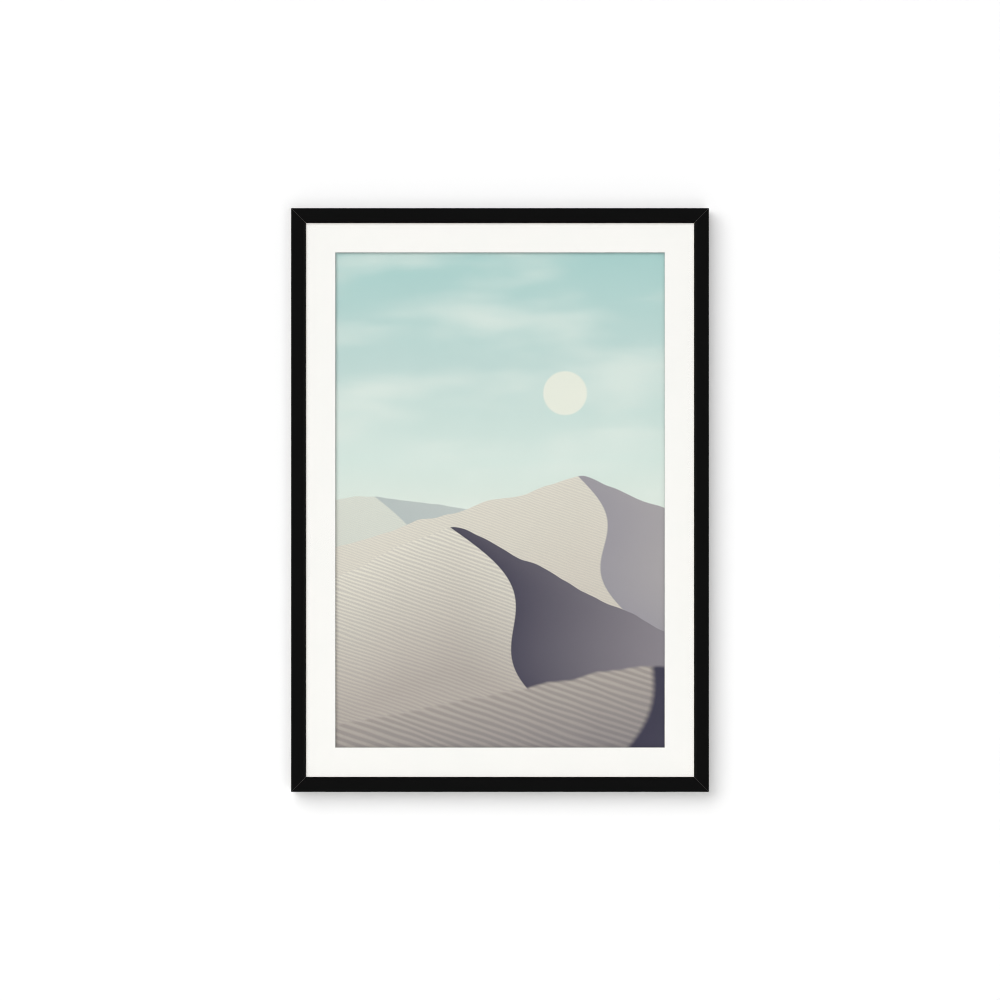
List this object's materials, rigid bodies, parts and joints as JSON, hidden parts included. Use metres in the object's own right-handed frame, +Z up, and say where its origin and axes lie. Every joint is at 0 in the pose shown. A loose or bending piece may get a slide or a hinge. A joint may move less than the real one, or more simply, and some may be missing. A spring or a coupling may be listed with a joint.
{
  "type": "framed print",
  "caption": "Wall-hung framed print: black mitred wooden rails hold clear glazing, a thick bevel-cut mat, a paper print and a backing board, with a sawtooth hanger behind.",
  "frame": {"origin": "on the wall plane, at the top of the sawtooth hanger's middle notch, where a hook or nail carries the frame", "axes": "+X to the right as seen from the front, +Y into the wall, +Z up; the front of the frame faces -Y"},
  "size_m": [0.5, 0.0255, 0.6985],
  "materials": {
    "black_lacquer": "satin",
    "clear_acrylic": "gloss",
    "mat_board": "matte",
    "print_paper": "satin",
    "hardboard": "matte",
    "zinc_steel": "satin",
    "dark_felt": "matte"
  },
  "bodies": {
    "root": {"rail_top": "black_lacquer", "rail_bottom": "black_lacquer", "rail_left": "black_lacquer", "rail_right": "black_lacquer", "corner_nail_top_right": "zinc_steel", "corner_nail_bottom_right": "zinc_steel", "corner_nail_bottom_left": "zinc_steel", "corner_nail_top_left": "zinc_steel", "glazing": "clear_acrylic", "mat": "mat_board", "print": "print_paper", "backing_board": "hardboard", "tab_top_1": "zinc_steel", "tab_top_2": "zinc_steel", "tab_right_1": "zinc_steel", "tab_right_2": "zinc_steel", "tab_right_3": "zinc_steel", "tab_bottom_1": "zinc_steel", "tab_bottom_2": "zinc_steel", "tab_left_1": "zinc_steel", "tab_left_2": "zinc_steel", "tab_left_3": "zinc_steel", "hanger": "zinc_steel", "hanger_screw_left": "zinc_steel", "hanger_screw_right": "zinc_steel", "bumper_left": "dark_felt", "bumper_right": "dark_felt"}
  },
  "joints": []
}
